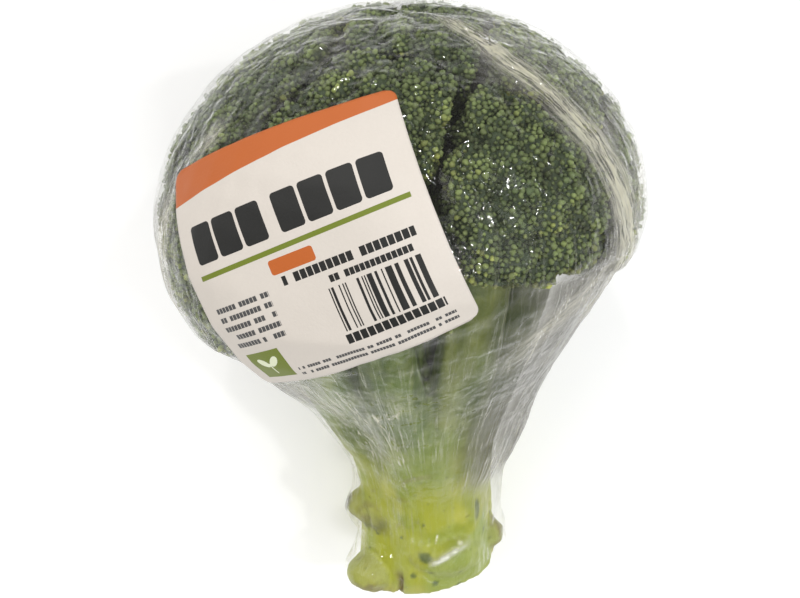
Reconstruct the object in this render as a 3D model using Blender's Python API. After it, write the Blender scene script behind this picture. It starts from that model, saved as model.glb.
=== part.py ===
"""A broccoli head in clear shrink film with a paper label, lying on its side.

Each piece is modelled in the head's own frame: +Z runs up the stalk from the cut end to the
crown, -Y is the side that ends up on top, +Y the side it lies on. The head is then tipped over
until the film touches the ground at the crown and at the foot of the stalk. Units are metres.
"""

import math

import bmesh
import bpy
from mathutils import Matrix, Vector, noise
from mathutils.bvhtree import BVHTree

# Crown
CROWN_LEVEL = 0.1160  # height of the crown's widest level above the cut end
CROWN_RADIUS = 0.066
CROWN_RISE = 0.055  # from the widest level to the top
CROWN_SLANT = 0.003  # how much higher the widest level is on the right, and lower on the left
CROWN_FLAT = 0.0060  # how much flatter the crown is under the label
FLORET_DEPTH = 0.024  # from the crown's surface down to a floret's middle
FLORET_SPREAD = 0.0300  # a floret's half width where no neighbour stops it
FLORET_ROOT = 0.015  # how far a floret reaches back from its middle
FLORET_LUMP = 0.0012  # unevenness of a floret's outline
SEAT_DEPTH = 0.0125  # from a floret's middle back to the flat seat on its branch

# Stalk and branches
STALK_RADIUS = 0.0190  # at the stalk's waist
STALK_FOOT = 0.0014  # how much wider the stalk is at the cut end
STALK_SHOULDER = 0.0036  # how much wider it is where the branches leave
STALK_HEIGHT = 0.064
STALK_FLUTE = 0.0006  # depth of the shallow ribs round the stalk
STALK_LEAN = 0.0085  # how far the cut end is to the right of the crown's middle
CUT_SLANT = 0.0070  # how much shorter the stalk is on the right than on the left
BRANCH_RADIUS = 0.0076  # at the seat of an outer floret
BRANCH_SWELL = 1.25  # a branch's radius at the stalk over its radius at the seat
UPPER_BRANCH_RADIUS = 0.0056
OUTER_ROOT_HEIGHT = 0.046  # where the outer branches leave the stalk
UPPER_ROOT_HEIGHT = 0.058

# Film and label
FILM_CLEARANCE = 0.0012  # from the crown and the stalk to the film
FILM_THICKNESS = 0.0005
FILM_HEM = 0.0030  # height of the film's open end above the cut end
TENT_END = 0.015  # height at which the loose side of the film reaches the stalk
SNUG_END = 0.030  # the same on the tight side
PRESS_DEPTH = 0.0022  # how far the ground flattens the film
LABEL_WIDTH = 0.0700
LABEL_HEIGHT = 0.0640
LABEL_CORNER = 0.0030
LABEL_THICKNESS = 0.0005

# Clearances between pieces
GAP = 0.0003  # where one piece is seated on another
FLORET_GAP = 0.0006  # between two florets
LABEL_GAP = 0.0008  # the flat facets of the film and the label differ a little

# Where things sit: azimuths are in degrees from +X towards +Y, polar angles from the stalk's axis
FLORETS = (
    ("crown", -50, 13),
    ("upper_1", -14, 49),
    ("upper_2", 52, 44),
    ("upper_3", 124, 43),
    ("upper_4", 196, 46),
    ("upper_5", -103, 47),
    ("outer_1", -50, 68),
    ("outer_2", -9, 79),
    ("outer_3", 33, 86),
    ("outer_4", 78, 87),
    ("outer_5", 122, 89),
    ("outer_6", 167, 92),
    ("outer_7", 216, 104),
    ("outer_8", -104, 82),
)
# Name, azimuth, height, how far it stands out, half its width round the stalk, half its height
LEAF_STUBS = (
    ("left", 198, 0.0228, 0.0038, 0.0056, 0.0046),
    ("low_left", 213, 0.0054, 0.0064, 0.0066, 0.0060),
    ("front", -70, 0.0140, 0.0032, 0.0112, 0.0078),
    ("right", -12, 0.0142, 0.0036, 0.0056, 0.0054),
)
TENT_AZIMUTH = -8  # the side on which the film stands away from the stalk
LABEL_CENTRE = (-0.0254, -0.0142)  # from the crown's middle as seen from above: across, along
LABEL_TURN = 21  # degrees anticlockwise, seen from above

# Mesh resolution
FILM_SIDES, DOME_RINGS, TENT_RINGS, FOOT_RINGS = 56, 12, 9, 5
STALK_SIDES, STALK_RINGS = 24, 12
BRANCH_SIDES, BRANCH_RINGS = 10, 5
FLORET_SUBDIVISIONS, STUB_SUBDIVISIONS = 3, 3
LABEL_CELLS = 14

CROWN_MIDDLE = Vector((0, 0, CROWN_LEVEL))


def clear_scene():
    for obj in list(bpy.data.objects):
        bpy.data.objects.remove(obj)


def material(name, colour, roughness, alpha=1.0):
    made = bpy.data.materials.new(name)
    made.use_nodes = True
    shader = made.node_tree.nodes["Principled BSDF"]
    shader.inputs["Base Color"].default_value = (*colour, 1)
    shader.inputs["Roughness"].default_value = roughness
    shader.inputs["Metallic"].default_value = 0
    shader.inputs["Alpha"].default_value = alpha
    return made


def add_object(name, bm, surface, head, origin=Vector()):
    """Makes an object from bm, whose points are relative to origin, a point of the head's frame."""
    bmesh.ops.recalc_face_normals(bm, faces=bm.faces)
    mesh = bpy.data.meshes.new(name)
    bm.to_mesh(mesh)
    bm.free()
    mesh.shade_smooth()
    mesh.set_sharp_from_angle(angle=math.radians(40))
    mesh.materials.append(surface)
    obj = bpy.data.objects.new(name, mesh)
    bpy.context.collection.objects.link(obj)
    obj.parent = head
    obj.location = origin
    return obj


def spoke(azimuth, up=0.0):
    """The vector this way from the stalk's axis, one unit long if level. Radians."""
    return Vector((math.cos(azimuth), math.sin(azimuth), up))


def direction(azimuth, polar):
    """The unit vector at these angles, in degrees."""
    polar = math.radians(polar)
    return spoke(math.radians(azimuth)) * math.sin(polar) + Vector((0, 0, math.cos(polar)))


def smooth_step(value):
    value = min(max(value, 0), 1)
    return value * value * (3 - 2 * value)


def around(radius, azimuth, height):
    """The point at this distance from the head's axis, which leans a little below the crown."""
    lean = STALK_LEAN * (1 - smooth_step(height / CROWN_LEVEL))
    return spoke(azimuth) * radius + Vector((lean, 0, height))


def cut_height(across):
    """The height of the slanting cut end this far to the right of the stalk's axis."""
    return max(CUT_SLANT * (0.5 + 0.5 * across / (STALK_RADIUS + STALK_FOOT)), 0)


def cut_edge_height(azimuth):
    return cut_height((STALK_RADIUS + STALK_FOOT) * math.cos(azimuth))


def stalk_radius(height, azimuth):
    foot = STALK_FOOT * (1 - smooth_step(height / (0.35 * STALK_HEIGHT)))
    shoulder = STALK_SHOULDER * smooth_step((height / STALK_HEIGHT - 0.45) / 0.5)
    ribs = STALK_FLUTE * math.sin(7 * azimuth + 30 * height)
    return STALK_RADIUS + foot + shoulder + ribs


def stub_bulge(height, azimuth):
    """How far the film is held off the stalk by the leaf stubs under it."""
    bulge = 0
    for _, stub_azimuth, stub_height, stands_out, half_width, half_height in LEAF_STUBS:
        turn = math.remainder(azimuth - math.radians(stub_azimuth), math.tau)
        along = turn * STALK_RADIUS / (half_width + FILM_CLEARANCE)
        up = (height - stub_height) / (half_height + FILM_CLEARANCE)
        bulge = max(bulge, 1.15 * stands_out * math.exp(-0.42 * (along**4 + up**4)))
    return bulge


def film_profile(azimuth):
    """(radius, height) points down the film's inner face on one side, from the top to the hem."""
    widest = CROWN_RADIUS + FILM_CLEARANCE
    rise = CROWN_RISE + FILM_CLEARANCE
    loose = 0.5 + 0.5 * math.cos(azimuth - math.radians(TENT_AZIMUTH))
    end = SNUG_END + (TENT_END - SNUG_END) * loose
    points = []
    for ring in range(DOME_RINGS + 1):
        polar = math.pi / 2 * ring / DOME_RINGS
        slant = CROWN_SLANT * math.cos(azimuth) * math.sin(polar)
        points.append((widest * math.sin(polar), CROWN_LEVEL + slant + rise * math.cos(polar)))

    def held(height):
        return stalk_radius(height, azimuth) + FILM_CLEARANCE + stub_bulge(height, azimuth)

    # A Bezier curve hangs from the crown's widest level and runs in along the stalk.
    drop = points[-1][1] - end
    corners = (
        Vector(points[-1]),
        Vector((widest, points[-1][1] - drop * (0.52 - 0.36 * loose))),
        Vector((held(end) + STALK_RADIUS * 0.06, end + drop * (0.46 + 0.08 * loose))),
        Vector((held(end), end)),
    )
    for ring in range(1, TENT_RINGS + 1):
        t = ring / TENT_RINGS
        weights = ((1 - t) ** 3, 3 * t * (1 - t) ** 2, 3 * t * t * (1 - t), t**3)
        spot = sum((corner * weight for corner, weight in zip(corners, weights)), Vector((0, 0)))
        points.append((max(spot.x, held(spot.y)), spot.y))
    for ring in range(1, FOOT_RINGS + 1):
        height = end + (FILM_HEM + cut_edge_height(azimuth) - end) * ring / FOOT_RINGS
        points.append((held(height), height))
    return points


def thickened(profile):
    """The profile moved outwards by the film's thickness, square to itself."""
    moved = [(0.0, profile[0][1] + FILM_THICKNESS)]
    for before, here, after in zip(profile, profile[1:], profile[2:] + profile[-1:]):
        along = Vector(after) - Vector(before)
        outwards = Vector((-along.y, along.x)).normalized()
        spot = Vector(here) + outwards * FILM_THICKNESS
        moved.append((spot.x, spot.y))
    moved[-1] = (profile[-1][0] + FILM_THICKNESS, profile[-1][1])
    return moved


def film_skins():
    """Rings of points from top to hem for the inner and the outer skin. The first is one point."""
    azimuths = [math.tau * side / FILM_SIDES for side in range(FILM_SIDES)]
    profiles = [film_profile(azimuth) for azimuth in azimuths]
    skins = []
    for columns in (profiles, [thickened(profile) for profile in profiles]):
        rings = [[Vector((0, 0, columns[0][0][1]))]]
        for ring in range(1, len(columns[0])):
            rings.append([around(column[ring][0], azimuth, column[ring][1])
                          for column, azimuth in zip(columns, azimuths)])
        skins.append(rings)
    return skins


class Ground:
    """The plane that the head lies on, in the head's frame."""

    def __init__(self, film_points):
        low, high = 0.0, math.pi / 2
        for _ in range(40):
            self.tilt = (low + high) / 2
            self.down = Vector((0, math.cos(self.tilt), -math.sin(self.tilt)))
            foot = max(p.dot(self.down) for p in film_points if p.z < STALK_HEIGHT / 2)
            crown = max(p.dot(self.down) for p in film_points if p.z >= STALK_HEIGHT / 2)
            if crown > foot:
                low = self.tilt
            else:
                high = self.tilt
        self.level = max(p.dot(self.down) for p in film_points) - PRESS_DEPTH

    def pressed(self, point, above=0.0):
        """The point, moved up if it is lower than this far above the ground."""
        sunk = point.dot(self.down) - (self.level - above)
        return point - self.down * sunk if sunk > 0 else point

    def reach(self, start, way, above):
        """How far a ray from start runs before it is this far above the ground."""
        fall = way.dot(self.down)
        return (self.level - above - start.dot(self.down)) / fall if fall > 1e-4 else math.inf


def flattened(point, out, above=0.0):
    """The point, brought in towards the plane that the film lies in under the label."""
    level = CROWN_RADIUS + FILM_CLEARANCE + above - CROWN_FLAT
    beyond = ((point - CROWN_MIDDLE).dot(out) - level) / (0.3 * CROWN_FLAT)
    if beyond < -20:
        return point
    return point + out * (-math.log1p(math.exp(-beyond)) - beyond) * (0.3 * CROWN_FLAT)


def ring_faces(bm, upper, lower):
    """Triangles between two rings of bm's vertices, of which the upper one may be a point.

    A piece and the larger copy of it that cuts its neighbours get the same diagonals.
    """
    count = len(lower)
    for i in range(count):
        j = (i + 1) % count
        bm.faces.new((upper[0] if len(upper) == 1 else upper[i], lower[i], lower[j]))
        if len(upper) > 1:
            bm.faces.new((upper[i], lower[j], upper[j]))


def add_rings(bm, rings):
    made = [[bm.verts.new(point) for point in ring] for ring in rings]
    for upper, lower in zip(made, made[1:]):
        ring_faces(bm, upper, lower)
    return made


def bvh_of(rings):
    bm = bmesh.new()
    add_rings(bm, rings)
    tree = BVHTree.FromBMesh(bm)
    bm.free()
    return tree


def ray_reach(tree, start, way):
    hit = tree.ray_cast(start, way)[3]
    return math.inf if hit is None else hit


def make_film(head, inner, outer):
    bm = bmesh.new()
    inner_made = add_rings(bm, inner)
    outer_made = add_rings(bm, outer)
    ring_faces(bm, inner_made[-1], outer_made[-1])
    add_object("film_wrap", bm, material("film", (0.82, 0.84, 0.82), 0.15, 0.35), head)


def rounded_corner(across, along):
    """Pulls a corner of the label's grid in to the middle of its rounded corner."""
    limit = Vector((LABEL_WIDTH / 2, LABEL_HEIGHT / 2))
    if abs(across) < limit.x - 1e-6 or abs(along) < limit.y - 1e-6:
        return across, along
    inset = LABEL_CORNER * (1 - math.cos(math.pi / 4))
    return (math.copysign(limit.x - inset, across), math.copysign(limit.y - inset, along))


def label_axes(down):
    """Unit vectors across the label, along it and out from its middle."""
    up = -down
    along_head = Vector((0, up.z, -up.y))
    turn = Matrix.Rotation(math.radians(LABEL_TURN), 3, up)
    out = Vector((1, 0, 0)) * LABEL_CENTRE[0] + along_head * LABEL_CENTRE[1]
    out = (out + up * math.sqrt(CROWN_RADIUS**2 - out.length_squared)).normalized()
    bend = up.rotation_difference(out).to_matrix() @ turn
    return bend @ Vector((1, 0, 0)), bend @ along_head, out


def film_spot(film_tree, way, above=0.0):
    return CROWN_MIDDLE + way * (ray_reach(film_tree, CROWN_MIDDLE, way) + above)


def way_along_film(film_tree, out, sideways, distance):
    """The direction from the crown's middle that meets the film this far from the label's."""
    spot, travelled, angle = film_spot(film_tree, out), 0.0, 0.0
    step = distance / CROWN_RADIUS / 16
    while True:
        way = out * math.cos(angle + step) + sideways * math.sin(angle + step)
        following = film_spot(film_tree, way)
        stride = (following - spot).length
        if travelled + stride >= distance:
            angle += step * (distance - travelled) / stride
            return out * math.cos(angle) + sideways * math.sin(angle)
        spot, travelled, angle = following, travelled + stride, angle + step


def make_label(head, ground, film_tree):
    """A square of paper laid over the film without stretching."""
    across_way, along_way, out = label_axes(ground.down)
    bm = bmesh.new()
    faces = ([], [])
    for row in range(LABEL_CELLS + 1):
        for column in range(LABEL_CELLS + 1):
            across = LABEL_WIDTH * (column / LABEL_CELLS - 0.5)
            along = LABEL_HEIGHT * (row / LABEL_CELLS - 0.5)
            across, along = rounded_corner(across, along)
            distance = math.hypot(across, along)
            way = out
            if distance > 1e-6:
                sideways = (across_way * across + along_way * along) / distance
                way = way_along_film(film_tree, out, sideways, distance)
            faces[0].append(bm.verts.new(film_spot(film_tree, way, LABEL_GAP)))
            above = LABEL_GAP + LABEL_THICKNESS
            faces[1].append(bm.verts.new(film_spot(film_tree, way, above)))
    rows = LABEL_CELLS + 1
    for points in faces:
        for row in range(LABEL_CELLS):
            for column in range(LABEL_CELLS):
                a = row * rows + column
                bm.faces.new((points[a], points[a + 1], points[a + rows + 1], points[a + rows]))
    bottom = list(range(rows))
    right = [row * rows + rows - 1 for row in range(1, rows)]
    top = [rows * (rows - 1) + column for column in range(rows - 2, -1, -1)]
    left = [row * rows for row in range(rows - 2, 0, -1)]
    edge = bottom + right + top + left
    for a, b in zip(edge, edge[1:] + edge[:1]):
        bm.faces.new((faces[0][a], faces[0][b], faces[1][b], faces[1][a]))
    add_object("paper_label", bm, material("label", (0.86, 0.84, 0.80), 0.6), head)


def floret_places(film_tree):
    """Name -> (middle, outward direction, seat direction, root on the stalk)."""
    places = {}
    for name, azimuth, polar in FLORETS:
        outwards = direction(azimuth, polar)
        surface = CROWN_MIDDLE + outwards * ray_reach(film_tree, CROWN_MIDDLE, outwards)
        middle = surface - outwards * (FLORET_DEPTH + FILM_CLEARANCE)
        outer = name.startswith("outer")
        root_height = OUTER_ROOT_HEIGHT if outer else UPPER_ROOT_HEIGHT
        root_radius = STALK_RADIUS * (0.62 if outer else 0.66 * math.sin(math.radians(polar)))
        root = around(root_radius, math.radians(azimuth), root_height)
        # The branch bends halfway, so it arrives at its floret leaning further out.
        knee = root.lerp(middle, 0.5) + Vector((0, 0, -0.12 * (middle - root).length))
        if not outer:
            knee = root.lerp(middle, 0.5)
        places[name] = (middle, outwards, (knee - middle).normalized(), root, knee)
    return places


def nearest_on(start, end, point):
    length = (end - start).length_squared
    share = min(max((point - start).dot(end - start) / length, 0), 1)
    return start.lerp(end, share)


def neighbour_planes(name, places):
    """(way, distance) of the planes that keep a floret off other florets and their branches."""
    middle = places[name][0]
    planes = []
    for other, (their_middle, _, _, root, knee) in places.items():
        if other == name:
            continue
        apart = their_middle - middle
        planes.append((apart.normalized(), (apart.length - FLORET_GAP) / 2))
        radius = BRANCH_RADIUS if other.startswith("outer") else UPPER_BRANCH_RADIUS
        for start, end in ((root, knee), (knee, their_middle)):
            apart = nearest_on(start, end, middle) - middle
            clear = apart.length - radius * BRANCH_SWELL - FLORET_GAP
            planes.append((apart.normalized(), clear))
    return planes


def floret_reach(way, name, places, planes, film_tree, ground):
    """How far a floret's surface is from its middle in this direction."""
    middle, outwards, seat_way, _, _ = places[name]
    out = way.dot(outwards)
    depth = FLORET_DEPTH if out > 0 else FLORET_ROOT
    across = math.sqrt(max(1 - out * out, 0))
    own = 1 / math.hypot(out / depth, across / FLORET_SPREAD)
    own += FLORET_LUMP * noise.noise((middle + way * own) * 90)
    limits = [own, ray_reach(film_tree, middle, way) - FILM_CLEARANCE]
    limits.append(ground.reach(middle, way, FILM_THICKNESS + FILM_CLEARANCE))
    limits += [clear / way.dot(apart) for apart, clear in planes if way.dot(apart) > 1e-3]
    # A soft minimum rounds the edges where the limits meet, and never passes one of them.
    softness = 12
    reach = sum(limit**-softness for limit in limits) ** (-1 / softness)
    lean = way.dot(seat_way)
    return min(reach, SEAT_DEPTH / lean) if lean > 1e-3 else reach


def make_floret(head, name, places, film_tree, ground, surface):
    planes = neighbour_planes(name, places)
    bm = bmesh.new()
    bmesh.ops.create_icosphere(bm, subdivisions=FLORET_SUBDIVISIONS, radius=1)
    for vert in bm.verts:
        way = vert.co.normalized()
        vert.co = way * floret_reach(way, name, places, planes, film_tree, ground)
    add_object(f"floret_{name}", bm, surface, head, places[name][0])


def close_tube(bm, rings):
    made = add_rings(bm, rings)
    bm.faces.new(made[0])
    bm.faces.new(reversed(made[-1]))


def stalk_rings(ground, grow=0.0):
    """Rings up the stalk, with a rounded shoulder, all made larger by grow."""
    above = FILM_THICKNESS + FILM_CLEARANCE / 2 - grow
    rings = []
    for ring in range(STALK_RINGS + 1):
        share = ring / STALK_RINGS
        shrink = 1 - 0.30 * smooth_step((share - 0.80) / 0.20)
        lift = -grow if ring == 0 else grow if ring == STALK_RINGS else 0
        points = []
        for side in range(STALK_SIDES):
            azimuth = math.tau * side / STALK_SIDES
            height = (1 - share) * cut_edge_height(azimuth) + share * STALK_HEIGHT
            radius = stalk_radius(height, azimuth) * shrink + grow
            points.append(ground.pressed(around(radius, azimuth, height + lift), above))
        rings.append(points)
    return rings


def make_stalk(head, ground, surface):
    bm = bmesh.new()
    close_tube(bm, stalk_rings(ground))
    add_object("main_stalk", bm, surface, head)
    bm = bmesh.new()
    close_tube(bm, stalk_rings(ground, GAP))
    cutter = add_object("stalk_cutter", bm, surface, head)
    return as_helper(cutter)


def as_helper(obj):
    obj.hide_render = True
    obj.display_type = "WIRE"
    return obj


def cut(obj, *cutters):
    for cutter in cutters:
        modifier = obj.modifiers.new("clear_of_" + cutter.name, "BOOLEAN")
        modifier.operation = "DIFFERENCE"
        modifier.object = cutter


def branch_rings(place, film_tree, seat_radius, grow=0.0):
    """Rings along a bent branch, from inside the stalk to the floret's seat."""
    middle, _, seat_way, root, knee = place
    seat = middle + seat_way * (SEAT_DEPTH + GAP - grow)
    rings = []
    for ring in range(BRANCH_RINGS + 1):
        t = ring / BRANCH_RINGS
        centre = root.lerp(knee, t).lerp(knee.lerp(seat, t), t)
        along = (knee - root).lerp(seat - knee, t).normalized()
        side = Vector((0, 0, 1)).cross(middle - CROWN_MIDDLE.project(Vector((0, 0, 1)))).normalized()
        side = (side - along * side.dot(along)).normalized()
        other = along.cross(side)
        radius = seat_radius * (BRANCH_SWELL + (1 - BRANCH_SWELL) * t) + grow
        points = []
        for turn in (math.tau * k / BRANCH_SIDES for k in range(BRANCH_SIDES)):
            way = side * math.cos(turn) + other * math.sin(turn)
            free = ray_reach(film_tree, centre, way) - FILM_CLEARANCE + grow
            points.append(centre + way * min(radius, free))
        rings.append(points)
    return rings


def make_branches(head, places, film_tree, stalk_cutter, surface):
    """Each branch is cut back to clear the stalk and the branches made before it."""
    made = []
    for name, place in places.items():
        seat_radius = BRANCH_RADIUS if name.startswith("outer") else UPPER_BRANCH_RADIUS
        bm = bmesh.new()
        close_tube(bm, branch_rings(place, film_tree, seat_radius))
        branch = add_object(f"branch_{name}", bm, surface, head)
        root = place[3]
        near = [helper for helper, other in made if (other - root).length < 4 * seat_radius]
        cut(branch, stalk_cutter, *near)
        bm = bmesh.new()
        close_tube(bm, branch_rings(place, film_tree, seat_radius, GAP))
        helper = add_object(f"branch_{name}_cutter", bm, surface, head)
        made.append((as_helper(helper), root))


def make_leaf_stubs(head, stalk_cutter, surface):
    """The feet of trimmed leaves: rounded lumps on the stalk, cut off level with its end."""
    for name, azimuth, height, stands_out, half_width, half_height in LEAF_STUBS:
        azimuth = math.radians(azimuth)
        sunk = 0.5 * STALK_RADIUS
        out = spoke(azimuth)
        sideways = Vector((-out.y, out.x, 0))
        centre = around(stalk_radius(height, azimuth) - sunk, azimuth, height)
        bm = bmesh.new()
        bmesh.ops.create_icosphere(bm, subdivisions=STUB_SUBDIVISIONS, radius=1)
        for vert in bm.verts:
            spot = out * vert.co.x * (sunk + stands_out)
            spot += sideways * vert.co.y * half_width * 1.15
            end = cut_height(centre.x + spot.x - around(0, 0, height).x) + GAP
            spot.z = max(vert.co.z * half_height * 1.1, end - height)
            vert.co = spot
        stub = add_object(f"leaf_stub_{name}", bm, surface, head, centre)
        cut(stub, stalk_cutter)


def lay_down(head, tilt):
    """Tips the head over and moves the middle of its underside to the origin."""
    head.rotation_euler = (tilt - math.pi / 2, 0, 0)
    bpy.context.view_layer.update()
    spots = [obj.matrix_world @ vert.co
             for obj in bpy.data.objects if obj.type == "MESH" and not obj.hide_render
             for vert in obj.data.vertices]
    lows = [min(spot[axis] for spot in spots) for axis in range(3)]
    highs = [max(spot[axis] for spot in spots) for axis in range(3)]
    head.location = (-(lows[0] + highs[0]) / 2, -(lows[1] + highs[1]) / 2, -lows[2])


def main():
    clear_scene()
    head = bpy.data.objects.new("head", None)
    bpy.context.collection.objects.link(head)
    inner, outer = film_skins()
    ground = Ground([point for ring in outer for point in ring])
    out = label_axes(ground.down)[2]
    inner = [[flattened(point, out) for point in ring] for ring in inner]
    outer = [[flattened(point, out, FILM_THICKNESS) for point in ring] for ring in outer]
    inner = [[ground.pressed(point, FILM_THICKNESS) for point in ring] for ring in inner]
    outer = [[ground.pressed(point) for point in ring] for ring in outer]
    film_tree = bvh_of(inner)

    buds = material("buds", (0.10, 0.17, 0.06), 0.75)
    stem = material("stem", (0.42, 0.50, 0.16), 0.5)
    places = floret_places(film_tree)
    for name in places:
        make_floret(head, name, places, film_tree, ground, buds)
    stalk_cutter = make_stalk(head, ground, stem)
    make_branches(head, places, film_tree, stalk_cutter, stem)
    make_leaf_stubs(head, stalk_cutter, stem)
    make_film(head, inner, outer)
    make_label(head, ground, bvh_of(outer))
    lay_down(head, ground.tilt)


main()
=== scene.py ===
"""The broccoli head's looks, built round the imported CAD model. Lengths are in metres."""

import itertools
import math
from functools import partialmethod

import bmesh
import bpy
import numpy as np
from mathutils import Matrix, Vector
from mathutils.bvhtree import BVHTree


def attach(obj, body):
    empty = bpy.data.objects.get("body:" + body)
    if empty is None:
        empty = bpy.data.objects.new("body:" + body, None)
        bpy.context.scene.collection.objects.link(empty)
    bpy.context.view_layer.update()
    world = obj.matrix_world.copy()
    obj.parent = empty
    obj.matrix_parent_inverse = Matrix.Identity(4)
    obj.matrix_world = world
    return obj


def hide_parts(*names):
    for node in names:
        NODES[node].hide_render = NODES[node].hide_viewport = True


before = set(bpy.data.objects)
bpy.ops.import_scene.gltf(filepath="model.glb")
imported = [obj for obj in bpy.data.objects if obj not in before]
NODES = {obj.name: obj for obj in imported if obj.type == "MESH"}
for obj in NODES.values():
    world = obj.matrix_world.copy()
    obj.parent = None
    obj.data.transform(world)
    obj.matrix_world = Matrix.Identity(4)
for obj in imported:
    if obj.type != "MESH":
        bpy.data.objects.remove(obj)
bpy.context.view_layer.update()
MM = 0.001

# The head's own frame: +Z up the stalk, -Y the side that lies uppermost.
TILT = math.radians(24.17)
HEAD = Matrix.Translation((0, -0.0795, 0.0150)) @ Matrix.Rotation(TILT - math.pi / 2, 4, "X")
HEAD_ARRAY = np.array(HEAD)
CROWN_LEVEL = 116 * MM
STALK_LEAN = 8.5 * MM
STALK_RADIUS = 19 * MM
CUT_SLANT = 7 * MM
FILM_HEM = 3 * MM
LABEL_SIZE = (70 * MM, 64 * MM)
LABEL_CENTRE = (-25.4 * MM, -14.2 * MM)
LABEL_TURN = math.radians(21)
CROWN_RADIUS = 66 * MM


# ---------------------------------------------------------------- geometry helpers


def to_head(points):
    return (points - HEAD_ARRAY[:3, 3]) @ HEAD_ARRAY[:3, :3]


def to_world(points):
    return points @ HEAD_ARRAY[:3, :3].T + HEAD_ARRAY[:3, 3]


def smooth_step(value, low=0.0, high=1.0):
    t = np.clip((value - low) / (high - low), 0, 1)
    return t * t * (3 - 2 * t)


def unit(vectors):
    return vectors / np.maximum(np.linalg.norm(vectors, axis=-1, keepdims=True), 1e-12)


def angle_window(azimuth, middle, full, end):
    """1 within full of the middle, falling to 0 at end."""
    away = np.abs(np.remainder(azimuth - middle + math.pi, math.tau) - math.pi)
    return 1 - smooth_step(away, full, end)


def lattice_noise(points, size, seed=0):
    """Smooth noise from -1 to 1 at each point. size is the cells' size, one number or three."""
    spots = np.asarray(points, float) / size
    cell = np.floor(spots).astype(np.int64)
    part = spots - cell
    part = part * part * (3 - 2 * part)
    total = np.zeros(len(spots))
    for corner in itertools.product((0, 1), repeat=3):
        c = cell + corner
        mixed = c[:, 0] * 73856093 ^ c[:, 1] * 19349663 ^ c[:, 2] * 83492791 ^ (seed + 7) * 97531
        mixed = (mixed ^ (mixed >> 13)) * 1274126177
        mixed = (mixed ^ (mixed >> 16)) & 0xFFFF
        weight = np.prod(np.where(np.array(corner) == 1, part, 1 - part), axis=1)
        total += (mixed / 32767.5 - 1) * weight
    return total


def layered_noise(points, size, seed=0, layers=3):
    total, share = 0.0, 1.0
    for layer in range(layers):
        total = total + share * lattice_noise(points, size / 2**layer, seed + layer)
        share *= 0.5
    return total / (2 - 2 * share)


def read(items, field, width=1, kind=float):
    """One field of all these mesh items, as an array."""
    values = np.empty(len(items) * width, kind)
    items.foreach_get(field, values)
    return values.reshape(-1, width) if width > 1 else values


def node_arrays(names):
    """Points, and faces as triangles, of these CAD nodes together."""
    points, faces, start = [], [], 0
    for name in names:
        obj = NODES[name]
        mesh = obj.data
        mesh.calc_loop_triangles()
        matrix = np.array(obj.matrix_world)
        points.append(read(mesh.vertices, "co", 3) @ matrix[:3, :3].T + matrix[:3, 3])
        faces.append(read(mesh.loop_triangles, "vertices", 3, int) + start)
        start += len(mesh.vertices)
    return np.concatenate(points), np.concatenate(faces)


def mesh_from(name, points, faces, smooth=True):
    """faces is an array of triangles or quads, or a list of such arrays."""
    mesh = bpy.data.meshes.new(name)
    groups = [np.asarray(g) for g in (faces if isinstance(faces, list) else [faces])]
    loops = np.concatenate([g.reshape(-1) for g in groups]).astype(np.int32)
    sizes = np.concatenate([np.full(len(g), g.shape[1]) for g in groups])
    starts = np.concatenate([[0], np.cumsum(sizes)[:-1]]).astype(np.int32)
    mesh.vertices.add(len(points))
    mesh.vertices.foreach_set("co", np.ascontiguousarray(points, np.float32).reshape(-1))
    mesh.loops.add(len(loops))
    mesh.loops.foreach_set("vertex_index", loops)
    mesh.polygons.add(len(sizes))
    mesh.polygons.foreach_set("loop_start", starts)
    mesh.update(calc_edges=True)
    mesh.validate()
    if smooth:
        mesh.shade_smooth()
    return mesh


def welded(points, faces, within=2e-5):
    _, first, index = np.unique(
        np.round(points / within).astype(np.int64), axis=0, return_index=True, return_inverse=True
    )
    faces = index.reshape(-1)[faces]
    whole = (faces[:, 0] != faces[:, 1]) & (faces[:, 1] != faces[:, 2]) & (faces[:, 0] != faces[:, 2])
    return points[first], faces[whole]


def vertex_normals(points, faces):
    corners = points[faces]
    face_normals = np.cross(corners[:, 1] - corners[:, 0], corners[:, 2] - corners[:, 0])
    normals = np.zeros_like(points)
    for k in range(faces.shape[1]):
        np.add.at(normals, faces[:, k], face_normals)
    return unit(normals)


def remeshed(names, voxel, rounds, grow=lambda name: 0.0):
    """The nodes as one even mesh: grown, merged by a voxel remesh and smoothed."""
    all_points, all_faces, start = [], [], 0
    for name in names:
        points, faces = welded(*node_arrays([name]))
        points = points + vertex_normals(points, faces) * grow(name)
        all_points.append(points)
        all_faces.append(faces + start)
        start += len(points)
    mesh = mesh_from("rough", np.concatenate(all_points), np.concatenate(all_faces))
    rough = bpy.data.objects.new("rough", mesh)
    bpy.context.collection.objects.link(rough)
    remesh = rough.modifiers.new("even", "REMESH")
    remesh.mode = "VOXEL"
    remesh.voxel_size = voxel
    smoothing = rough.modifiers.new("soft", "SMOOTH")
    smoothing.factor = 0.5
    smoothing.iterations = rounds
    graph = bpy.context.evaluated_depsgraph_get()
    even = bpy.data.meshes.new_from_object(rough.evaluated_get(graph))
    points, quads = read(even.vertices, "co", 3), read(even.polygons, "vertices", 4, int)
    bpy.data.objects.remove(rough)
    bpy.data.meshes.remove(even)
    return points, quads


def tree_of(points, faces):
    return BVHTree.FromPolygons([tuple(p) for p in points], [tuple(f) for f in faces.tolist()])


def paint(mesh, name, values):
    """Stores one number or colour per vertex."""
    values = np.asarray(values, np.float32)
    if values.ndim == 1:
        values = np.repeat(values[:, None], 3, axis=1)
    colours = np.ones((len(values), 4), np.float32)
    colours[:, :3] = values
    layer = mesh.color_attributes.new(name, "FLOAT_COLOR", "POINT")
    layer.data.foreach_set("color", colours.reshape(-1))


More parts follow.
